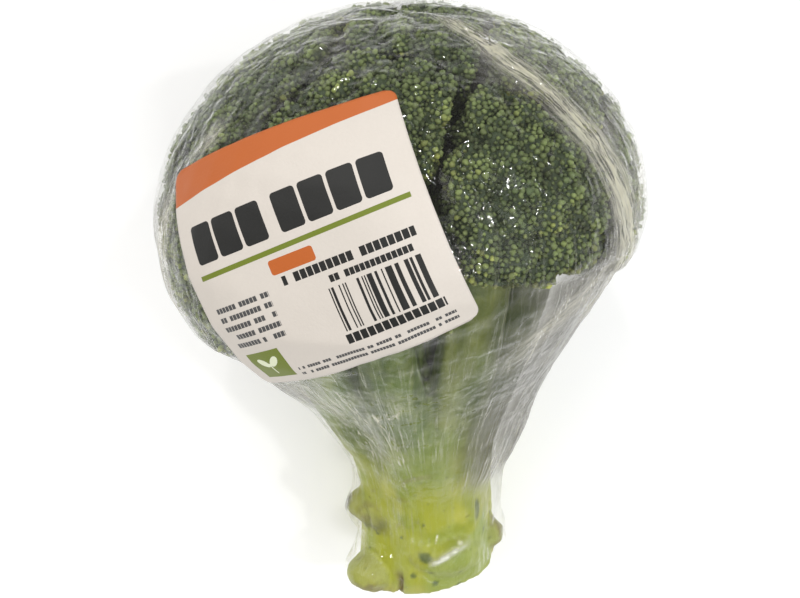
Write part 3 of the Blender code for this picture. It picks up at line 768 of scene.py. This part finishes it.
def film_surface(contents):
    """The film as a grid of points in the head's frame, and how white it is at each."""
    azimuth, starts, ways = film_rays()
    film_points, film_faces = node_arrays(["film_wrap"])
    skin = tree_of(to_head(film_points), film_faces)
    reach = np.empty(starts.shape[:2])
    gap = np.empty(starts.shape[:2])
    for row in range(len(starts)):
        for column in range(COLUMNS):
            start, way = Vector(starts[row, column]), Vector(ways[row, column])
            hit = skin.ray_cast(start, way)[3]
            reach[row, column] = hit if hit else reach[row - 1, column]
            outer = start + way * reach[row, column]
            spaces = [FAR]
            for tree, clearance in contents:
                below = tree.ray_cast(outer, -way, FAR)[3]
                spaces.append(FAR if below is None else below - clearance)
            gap[row, column] = min(spaces)

    # The film is pulled in between what it touches.
    rows = np.arange(len(starts))[:, None] - DOME_ROWS
    drop = rows / LOWER_ROWS
    slack = averaged(least_nearby(gap, 6, 3), 5, 3)
    limit = 1.9 * MM * (1 - smooth_step(rows, 0, 45)) + 3.2 * MM * smooth_step(rows, 84, 106)
    in_left = angle_window(azimuth, math.radians(195), math.radians(35), math.radians(70))
    limit = limit + 5.0 * MM * in_left * smooth_step(rows, 12, 45) * (1 - smooth_step(rows, 84, 106))
    pull = np.clip(slack, -0.7 * MM, limit)
    loose = smooth_step(averaged(gap, 3, 2) - pull, 1.5 * MM, 6.5 * MM)

    places = starts + ways * reach[..., None]
    flat = places.reshape(-1, 3)
    shape = reach.shape
    bundle_height, bundle_marks = bundle_fields(unit(places - CROWN_MIDDLE))

    # Folds that run down to the stalk, closer together as the film narrows.
    turn = np.broadcast_to(azimuth, shape) + 0.05 * lattice_noise(flat, 30 * MM, 61).reshape(shape)
    ring = np.stack([np.cos(turn), np.sin(turn), np.broadcast_to(drop * 0.25, shape)], axis=-1).reshape(-1, 3)
    folds = 1 - np.abs(lattice_noise(ring, 0.085, 62)).reshape(shape)
    fine_folds = 1 - np.abs(lattice_noise(ring, 0.030, 63)).reshape(shape)
    tent = smooth_step(drop, -0.18, 0.22) * np.ones(shape)
    patches = smooth_step(lattice_noise(flat, 22 * MM, 64), -0.5, 0.6).reshape(shape)
    streak = np.clip(folds, 0, 1) ** 8 * patches + 0.6 * np.clip(fine_folds, 0, 1) ** 10
    crinkle = 1 - np.abs(layered_noise(flat, 9 * MM, 65, 2)).reshape(shape)
    patchy = smooth_step(lattice_noise(flat, 25 * MM, 66), -0.2, 0.7).reshape(shape)
    crinkle = np.clip(crinkle, 0, 1) ** 7 * patchy
    rise = 0.55 * MM * bundle_height + 0.40 * MM * streak * tent * (0.3 + 0.7 * loose) + 0.20 * MM * crinkle
    rise += 0.10 * MM * lattice_noise(flat, 3.5 * MM, 67).reshape(shape)
    on_floor = smooth_step(-to_world(flat)[:, 2], -3.0 * MM, -0.8 * MM).reshape(shape)
    rise *= 1 - 0.9 * on_floor
    offset = 0.25 * MM - pull + rise + 0.7 * MM * foot_ridge(np.broadcast_to(azimuth, shape), starts[..., 2])
    # The film is clear on top, where it is stretched tight, and hangs in a hazy veil beside the stalk; the veil is
    # painted grey as shade.
    right = angle_window(azimuth, math.radians(-20), math.radians(30), math.radians(49))
    left = angle_window(azimuth, math.radians(188), math.radians(34), math.radians(52))
    behind = angle_window(azimuth, math.radians(90), math.radians(30), math.radians(75))
    side = np.clip(right + 0.75 * left + 0.5 * behind, 0, 1) * np.ones(shape)
    veil = loose * (0.03 + 0.97 * side) * (0.22 + 0.78 * smooth_step(drop, -0.16, 0.06))
    hairs = angle_window(azimuth, math.radians(-113), math.radians(11), math.radians(26))
    hairs = hairs * smooth_step(drop, 0.24, 0.34) * (1 - smooth_step(drop, 0.55, 0.75))
    streaks = tent * (0.35 + 0.65 * patches) * (1 - smooth_step(drop, 0.72, 0.90))
    marks = np.stack([veil, streaks, hairs], axis=-1)
    # A painted highlight: white along the ridge over the front stub.
    crest = foot_ridge(np.broadcast_to(azimuth, shape), starts[..., 2]) ** 2
    crest *= 1 - smooth_step(np.abs(np.degrees(azimuth) + 73), 8, 21)
    crest *= 0.5 + 0.5 * smooth_step(lattice_noise(flat, 2.2 * MM, 68), -0.5, 0.1).reshape(shape)
    return azimuth, starts, ways, reach, offset, marks, bundle_marks, crest


def label_axes():
    """Across, along and out of the label, as unit vectors in the head's frame."""
    up = Vector((0, -math.cos(TILT), math.sin(TILT)))
    along = Vector((0, up.z, -up.y))
    out = Vector((1, 0, 0)) * LABEL_CENTRE[0] + along * LABEL_CENTRE[1]
    out = (out + up * math.sqrt(CROWN_RADIUS**2 - out.length_squared)).normalized()
    bend = up.rotation_difference(out).to_matrix() @ Matrix.Rotation(LABEL_TURN, 3, up)
    return np.array(bend @ Vector((1, 0, 0))), np.array(bend @ along), np.array(out)


def make_film(contents, surface):
    azimuth, starts, ways, reach, offset, marks, bundle_marks, crest = film_surface(contents)
    crest = np.repeat(crest[..., None], 3, axis=2)
    # Under the label the film keeps to its CAD shape.
    across, along, out = label_axes()
    from_middle = unit(starts + ways * reach[..., None] - CROWN_MIDDLE)
    side, up = np.abs(from_middle @ across), np.abs(from_middle @ along)
    ahead = from_middle @ out > 0
    cover = (1 - smooth_step(side, 0.50, 0.58)) * (1 - smooth_step(up, 0.46, 0.54)) * ahead
    offset = offset * (1 - cover) + 0.25 * MM * cover
    marks = marks * (1 - 0.8 * cover)[..., None]
    bundle_marks[..., 2] *= 1 - cover
    points = starts + ways * (reach + offset)[..., None]
    top_reach = np.linalg.norm(points[0] - CROWN_MIDDLE, axis=1).mean() + 0.02 * MM
    top = CROWN_MIDDLE + np.array([0, 0, 1]) * top_reach
    every = np.concatenate([top[None], points.reshape(-1, 3)])
    world = to_world(every)
    world[:, 2] = np.maximum(world[:, 2], 0.0)
    rows, columns = reach.shape
    index = 1 + np.arange(rows * columns).reshape(rows, columns)
    follow = np.roll(index, -1, axis=1)
    quads = np.stack([index[:-1], index[1:], follow[1:], follow[:-1]], axis=-1).reshape(-1, 4)
    cap = np.stack([np.zeros(columns, int), index[0], follow[0]], axis=-1)
    mesh = mesh_from("film", world, [quads, cap])
    for title, field in (("marks", marks), ("bundle", bundle_marks), ("crest", crest)):
        paint(mesh, title, np.concatenate([field[:1, 0], field.reshape(-1, 3)]))
    # The film's own coordinates: round the head and down it.
    layer = mesh.uv_layers.new(name="film")
    loops = read(mesh.loops, "vertex_index", kind=int)
    column = np.where(loops == 0, 0, (loops - 1) % columns)
    row = np.where(loops == 0, -1, (loops - 1) // columns)
    turn = np.unwrap(azimuth)[column]
    spots = np.stack([turn, (row + 1) / rows], axis=1)
    # The last column's faces run on past the seam.
    face_start = read(mesh.polygons, "loop_start", kind=int)
    face_size = read(mesh.polygons, "loop_total", kind=int)
    owner = np.repeat(np.arange(len(face_size)), face_size)
    highest = np.maximum.reduceat(column, face_start)[owner]
    spots[:, 0] += np.where((highest == columns - 1) & (column == 0) & (loops != 0), math.tau, 0)
    layer.data.foreach_set("uv", spots.astype(np.float32).reshape(-1))
    add_piece("film", mesh, surface, ["film_wrap"])
    return tree_of(every, np.concatenate([quads[:, [0, 1, 2]], quads[:, [0, 2, 3]], cap]))


def film_material():
    s = Shading("clear_film")
    s.tree.nodes.remove(s.shader)
    place = s.coordinates()
    around = s.add("UVMap", {"uv_map": "film"}).outputs[0]
    loose, streak, hairs = s.add("SeparateXYZ", Vector=s.attribute("marks")).outputs
    across, along, fade = s.add("SeparateXYZ", Vector=s.attribute("bundle")).outputs
    # The crest attribute carries a painted highlight along the ridge over the front stub.
    crest = s.attribute("crest")

    # Long lines that run down to the stalk, and twisted hairs beside it on the left.
    long_lines = s.line(s.noise(s.scaled(around, (17, 3, 1)), 1.4, 1, 0.6), 0.56, 0.026)
    hair = s.line(s.noise(s.scaled(around, (15, 6, 1)), 1.1, 2, 0.5, 1.2), 0.5, 0.018)
    cloud = s.ramp(s.noise(place, 70, 3), 0.40, 0.62)
    frost = s.times(s.ramp(s.noise(place, 420, 4, 0.7), 0.52, 0.66), s.ramp(s.noise(place, 110, 2), 0.52, 0.60))
    hair = s.times(hairs, s.plus(s.times(hair, 0.75), s.times(frost, 0.65)))
    # The bundles' own fine folds.
    fold_place = s.add("CombineXYZ", X=s.times(across, 0.55), Y=s.times(along, 0.035), Z=0.0).outputs[0]
    broad_folds = s.line(s.noise(fold_place, 1.0, 3, 0.6), 0.52, 0.07)
    fine_folds = s.line(s.noise(fold_place, 2.3, 2, 0.6), 0.5, 0.06)
    fold_lines = s.math("MAXIMUM", broad_folds, s.times(fine_folds, 0.6))
    fold_haze = s.times(fade, s.plus(0.16, s.times(fold_lines, 0.70)))

    # How white the film is: more where it hangs loose, and towards its outline.
    cloudy_lines = s.times(long_lines, cloud)
    light_lines = s.times(cloudy_lines, s.plus(0.03, s.times(loose, 0.36)))
    light_lines = s.times(light_lines, s.plus(0.2, s.times(streak, 0.8)))
    light_lines = s.plus(light_lines, s.times(cloudy_lines, s.times(streak, 0.42)))
    light_lines = s.plus(light_lines, hair)
    haze = s.times(loose, s.plus(0.16, s.times(cloud, 0.14)))
    # The haze includes the painted highlight along the crest.
    for part in (0.004, s.times(streak, 0.006), light_lines, fold_haze, s.times(crest, 0.75)):
        haze = s.plus(haze, part)
    facing = s.add("LayerWeight", Blend=0.5).outputs["Facing"]
    haze = s.times(haze, s.plus(1.0, s.times(s.math("POWER", facing, 2.0), 0.9)))
    haze = s.math("MINIMUM", haze, 0.85)

    ripple = s.line(s.noise(place, 110, 2, 0.6), 0.5, 0.16)
    ripple = s.times(s.times(ripple, ripple), s.minus(3.0, s.times(ripple, 2.0)))
    tight = s.minus(1.0, s.times(streak, 0.85))
    normal = s.bump(s.times(ripple, tight), 0.0006, 0.6)
    normal = s.bump(s.times(s.noise(place, 75, 2, 0.5), tight), 0.0028, 0.5, normal)
    normal = s.bump(s.times(long_lines, streak), 0.0006, 0.5, normal)

    # Painted shade: where the film hangs loose, its see-through tint and its haze are grey.
    clear = s.mix(loose, (0.985, 0.985, 0.98), (0.41, 0.405, 0.385))
    white = s.mix(s.times(loose, 0.9), (0.72, 0.70, 0.62), (0.36, 0.35, 0.31))
    white = s.mix(s.math("MAXIMUM", fold_haze, light_lines), white, (0.60, 0.575, 0.42))
    # Painted highlight: near-white along the crest.
    white = s.mix(crest, white, (0.92, 0.93, 0.90))
    edge = s.add("LayerWeight", Blend=0.5, Normal=normal).outputs["Facing"]
    mirror = s.plus(0.022, s.times(s.math("POWER", edge, 5.0), 0.75))
    shine = s.add("BsdfGlossy", Color=(1, 1, 1, 1), Roughness=0.07, Normal=normal).outputs[0]
    surface = s.add("BsdfTransparent", Color=clear).outputs[0]
    for share, over in ((haze, s.add("BsdfDiffuse", Color=white).outputs[0]), (mirror, shine)):
        both = s.add("MixShader")
        for socket, value in zip(both.inputs, (share, surface, over)):
            s.set(socket, value)
        surface = both.outputs[0]
    s.set(s.output.inputs[0], surface)
    return s.material


# ---------------------------------------------------------------- label

LABEL_CELLS = (105, 96)
LABEL_CORNER = 3 * MM
LABEL_LIFT = 0.32 * MM
PAPER = 0.14 * MM
TURNS, STEPS, STEP = 180, 64, 0.0125


def walked(film_reach, across, along, out):
    """The way along the film from the label's middle, for each of the turns and steps."""
    table = np.empty((TURNS, STEPS))
    for turn in range(TURNS):
        angle = math.tau * turn / TURNS
        sideways = across * math.cos(angle) + along * math.sin(angle)
        line = [out * math.cos(STEP * k) + sideways * math.sin(STEP * k) for k in range(STEPS)]
        places = np.array([way * film_reach(way) for way in line])
        table[turn, 0] = 0
        table[turn, 1:] = np.cumsum(np.linalg.norm(np.diff(places, axis=0), axis=1))
    return (table + np.roll(table, 1, 0) + np.roll(table, -1, 0)) / 3


def make_label(film_tree, surface):
    """Paper laid over the film without stretching: walked out from its middle along the film."""
    across, along, out = label_axes()
    width, height = LABEL_SIZE
    columns, rows = LABEL_CELLS[0] + 1, LABEL_CELLS[1] + 1
    x, y = np.meshgrid(width * (np.arange(columns) / (columns - 1) - 0.5),
                       height * (np.arange(rows) / (rows - 1) - 0.5))
    # Rounded corners: the rows near both ends get shorter.
    depth = np.maximum(np.abs(y) - (height / 2 - LABEL_CORNER), 0)
    inset = LABEL_CORNER - np.sqrt(np.maximum(LABEL_CORNER**2 - depth**2, 0))
    x *= (width / 2 - inset) / (width / 2)
    middle = Vector(CROWN_MIDDLE)

    def film_reach(way):
        return film_tree.ray_cast(middle, Vector(way))[3] or CROWN_RADIUS

    table = walked(film_reach, across, along, out)
    distance = np.hypot(x, y)
    turn = (np.arctan2(y, x) / math.tau * TURNS) % TURNS
    low, part = turn.astype(int) % TURNS, turn - turn.astype(int)
    reach = np.empty((rows, columns))
    ways = np.empty((rows, columns, 3))
    for at in np.ndindex(rows, columns):
        lengths = table[low[at]] * (1 - part[at]) + table[(low[at] + 1) % TURNS] * part[at]
        angle = np.interp(distance[at], lengths, STEP * np.arange(STEPS))
        sideways = (across * x[at] + along * y[at]) / max(distance[at], 1e-9)
        ways[at] = out * math.cos(angle) + sideways * math.sin(angle)
        reach[at] = film_reach(ways[at])

    lifted = reach
    for _ in range(6):
        padded = np.pad(lifted, 1, mode="edge")
        beside = padded[:-2, 1:-1] + padded[2:, 1:-1] + padded[1:-1, :-2] + padded[1:-1, 2:]
        lifted = (padded[1:-1, 1:-1] * 2 + beside) / 6
    lifted = np.maximum(lifted, reach - 0.05 * MM)
    flat = np.stack([x, y, 0 * x], axis=-1).reshape(-1, 3)
    crease = 0.10 * MM * lattice_noise(flat, 14 * MM, 71).reshape(rows, columns)
    edge = np.maximum(np.abs(x) / (width / 2), np.abs(y) / (height / 2))
    waves = lattice_noise(flat, 18 * MM, 72).reshape(rows, columns)
    curl = 0.35 * MM * smooth_step(edge, 0.86, 1.0) * (0.6 + 0.4 * waves)
    lifted = lifted + LABEL_LIFT + crease + curl
    faces = [(CROWN_MIDDLE + ways * level[..., None]).reshape(-1, 3) for level in (lifted + PAPER, lifted)]

    index = np.arange(rows * columns).reshape(rows, columns)
    corners = [index[:-1, :-1], index[:-1, 1:], index[1:, 1:], index[1:, :-1]]
    upper = np.stack(corners, axis=-1).reshape(-1, 4)
    lower = upper[:, ::-1] + rows * columns
    ring = np.concatenate([index[0, :-1], index[:-1, -1], index[-1, :0:-1], index[:0:-1, 0]])
    after = np.roll(ring, -1)
    rim = np.stack([after, ring, ring + rows * columns, after + rows * columns], axis=-1)
    mesh = mesh_from("label", to_world(np.concatenate(faces)), np.concatenate([upper, lower, rim]))
    layer = mesh.uv_layers.new(name="print")
    loops = read(mesh.loops, "vertex_index", kind=int)
    mm = (flat[loops % (rows * columns), :2] + np.array([width, height]) / 2) / MM
    layer.data.foreach_set("uv", mm.astype(np.float32).reshape(-1))
    paint(mesh, "face", np.repeat([1.0, 0.0], rows * columns))
    return add_piece("label", mesh, surface, ["paper_label"])


def label_material():
    s = Shading("printed_paper")
    uv = s.add("UVMap", {"uv_map": "print"}).outputs[0]
    parts = s.add("SeparateXYZ", Vector=uv)
    x, y = parts.outputs[0], parts.outputs[1]

    def box(x0, x1, y0, y1):
        inside_x = s.math("COMPARE", x, (x0 + x1) / 2, (x1 - x0) / 2)
        return s.times(inside_x, s.math("COMPARE", y, (y0 + y1) / 2, (y1 - y0) / 2))

    def squares(a, b):
        return s.plus(s.times(a, a), s.times(b, b))

    def rounded(x0, x1, y0, y1, corner):
        past = []
        for value, low, high in ((x, x0, x1), (y, y0, y1)):
            off = s.math("ABSOLUTE", s.minus(value, (low + high) / 2))
            past.append(s.math("MAXIMUM", s.minus(off, (high - low) / 2 - corner), 0.0))
        return s.math("LESS_THAN", squares(*past), corner * corner)

    def greeked(x0, x1, y0, y1, pitch, weight, cell, fill, seed):
        """Rows of small blocks where lines of text would be."""
        row = s.over(s.minus(y, y0), pitch)
        thick = s.math("LESS_THAN", s.math("FRACT", row), weight)
        column = s.math("FLOOR", s.over(x, cell))
        key = s.add("CombineXYZ", X=column, Y=s.math("FLOOR", row), Z=seed).outputs[0]
        word = s.math("LESS_THAN", s.add("TexWhiteNoise", Vector=key).outputs["Value"], fill)
        gap = s.math("LESS_THAN", s.math("FRACT", s.over(x, cell)), 0.86)
        return s.times(s.times(box(x0, x1, y0, y1), thick), s.times(word, gap))

    place = s.coordinates()
    fibre = s.noise(place, 1400, 4, 0.65)
    broad = s.noise(place, 35, 2)
    paper = s.mix(s.times(fibre, 0.5), (0.67, 0.615, 0.555), (0.55, 0.505, 0.455))
    paper = s.mix(s.times(broad, 0.45), paper, (0.51, 0.47, 0.42))
    orange, green = (0.46, 0.105, 0.012), (0.145, 0.185, 0.012)
    ink, grey = (0.007, 0.007, 0.006), (0.06, 0.06, 0.06)
    wave = s.plus(54.2, s.times(x, 0.085))
    colour = s.mix(s.math("GREATER_THAN", y, wave), paper, orange)
    # Heading: a row of plain blocks, with a rule under it.
    for start in (5.5, 13.4, 21.3, 32.0, 39.9, 47.8, 55.7):
        colour = s.mix(rounded(start, start + 7, 37.6, 47.6, 1.0), colour, ink)
    rule = s.plus(34.3, s.times(x, 0.012))
    colour = s.mix(s.times(box(4.5, 66, 30, 40), s.math("COMPARE", y, rule, 0.65)), colour, green)
    colour = s.mix(rounded(25, 38, 28.8, 32.6, 0.8), colour, orange)
    # Two lines under the heading, small print at the left and below, and a line under the bars.
    for seed, (tone, *spot) in enumerate((
        (ink, 27, 64, 25.6, 28.0, 2.4, 0.99, 1.9, 0.9),
        (ink, 39, 62, 22.4, 24.2, 1.8, 0.99, 1.45, 0.86),
        (grey, 4.5, 22, 14.2, 27.0, 2.6, 0.52, 1.15, 0.82),
        (grey, 19, 65, 2.2, 5.6, 1.7, 0.48, 0.85, 0.80),
        (ink, 37, 64, 6.8, 9.2, 2.4, 0.99, 2.05, 0.95),
    ), 1):
        colour = s.mix(greeked(*spot, float(seed)), colour, tone)
    bar = s.math("FLOOR", s.over(x, 0.36))
    bar = s.add("TexWhiteNoise", {"noise_dimensions": "1D"}, W=bar).outputs["Value"]
    colour = s.mix(s.times(box(37.5, 63.5, 9.9, 21.2), s.math("GREATER_THAN", bar, 0.47)), colour, ink)
    colour = s.mix(box(4.5, 17.0, 2.6, 11.8), colour, green)

    def leaf(cx, cy, turn):
        dx, dy = s.minus(x, cx), s.minus(y, cy)
        c, n = math.cos(turn), math.sin(turn)
        a = s.plus(s.times(dx, c), s.times(dy, n))
        b = s.minus(s.times(dy, c), s.times(dx, n))
        return s.math("LESS_THAN", squares(s.over(a, 2.1), s.over(b, 1.05)), 1.0)

    # A sprout on the square: two leaves and a stem.
    for mask in (leaf(8.9, 8.2, 2.5), leaf(12.8, 8.2, 0.64), box(10.6, 11.05, 4.0, 7.8)):
        colour = s.mix(mask, colour, (0.72, 0.76, 0.55))
    colour = s.mix(s.attribute("face"), (0.62, 0.59, 0.55), colour)
    normal = s.bump(fibre, 0.0002, 0.35)
    normal = s.bump(broad, 0.003, 0.25, normal)
    return s.finish(Base_Color=colour, Normal=normal, Roughness=0.52, Specular_IOR_Level=0.4,
                    Coat_Weight=0.08, Coat_Roughness=0.35)


# ---------------------------------------------------------------- build

# How far the film stays off the buds and off the stalk.
FLORET_ROOM, STEM_ROOM = 1.2 * MM, 0.35 * MM
buds = bud_material()
floret_tree = tree_of(*joined([make_floret(name, buds) for name in FLORET_NAMES]))
stem_tree = tree_of(*make_stem(stem_material()))
film_tree = make_film([(floret_tree, FLORET_ROOM), (stem_tree, STEM_ROOM)], film_material())
make_label(film_tree, label_material())


# ---------------------------------------------------------------- studio

FLOOR_HALF, FLOOR_DROP = 3, 0.2 * MM
corners = np.array([[x * FLOOR_HALF, y * FLOOR_HALF, -FLOOR_DROP] for x, y in ((-1, -1), (1, -1), (1, 1), (-1, 1))])
floor_mesh = mesh_from("floor", corners, np.array([[0, 1, 2, 3]]), False)
floor = bpy.data.objects.new("floor", floor_mesh)
bpy.context.collection.objects.link(floor)
s = Shading("floor_paint")
speckle = s.noise(s.add("TexCoord").outputs["Object"], 40, 3)
floor_mesh.materials.append(s.finish(
    Base_Color=s.mix(speckle, (0.86, 0.86, 0.86), (0.88, 0.88, 0.88)), Roughness=0.9, Specular_IOR_Level=0.1,
    Emission_Color=(1, 1, 1, 1), Emission_Strength=0.20,
))

world = bpy.data.worlds.new("studio")
bpy.context.scene.world = world
world.use_nodes = True
world.node_tree.nodes["Background"].inputs["Color"].default_value = (1, 1, 1, 1)
world.node_tree.nodes["Background"].inputs["Strength"].default_value = 0.40

# Name, place, target, size and power of each lamp; the soft boxes are slightly warm and cool.
for name, place, target, size, power, tone in (
    ("soft_left", (-0.9, 0.45, 1.15), (0, 0, 0.06), (1.7, 1.7), 14, (1.0, 0.98, 0.95)),
    ("soft_right", (1.0, -0.4, 1.1), (0, 0, 0.06), (1.4, 1.4), 5.3, (0.95, 0.98, 1.0)),
    ("lamp_a", (0.37, 0.47, 0.95), (0, 0, 0.08), (0.04, 0.04), 1.1, (1, 1, 1)),
    ("lamp_b", (0.67, 0.20, 0.85), (0, 0, 0.08), (0.04, 0.04), 1.1, (1, 1, 1)),
    ("lamp_c", (-0.18, 0.95, 0.62), (0, 0, 0.08), (0.05, 0.05), 1.6, (1, 1, 1)),
    ("lamp_e", (0.58, -0.17, 0.93), (0.01, -0.07, 0.04), (0.06, 0.06), 1.8, (1, 1, 1)),
    ("lamp_d", (0.10, -0.45, 0.90), (0, 0, 0.08), (0.20, 0.03), 1.4, (1, 1, 1)),
):
    data = bpy.data.lights.new(name, "AREA")
    data.shape = "RECTANGLE"
    data.size, data.size_y = size
    data.energy = power
    data.color = tone
    light = bpy.data.objects.new(name, data)
    light.location = place
    light.rotation_euler = (Vector(target) - Vector(place)).to_track_quat("-Z", "Y").to_euler()
    bpy.context.collection.objects.link(light)

camera_data = bpy.data.cameras.new("camera")
camera_data.lens = 73.9
camera_data.sensor_width = 36
camera_data.clip_start = 0.01
camera = bpy.data.objects.new("camera", camera_data)
camera.location = (0, 0.0014, 0.515)
camera.rotation_euler = (0, 0, 0)
bpy.context.collection.objects.link(camera)
bpy.context.scene.camera = camera
bpy.context.scene.view_settings.view_transform = "Standard"
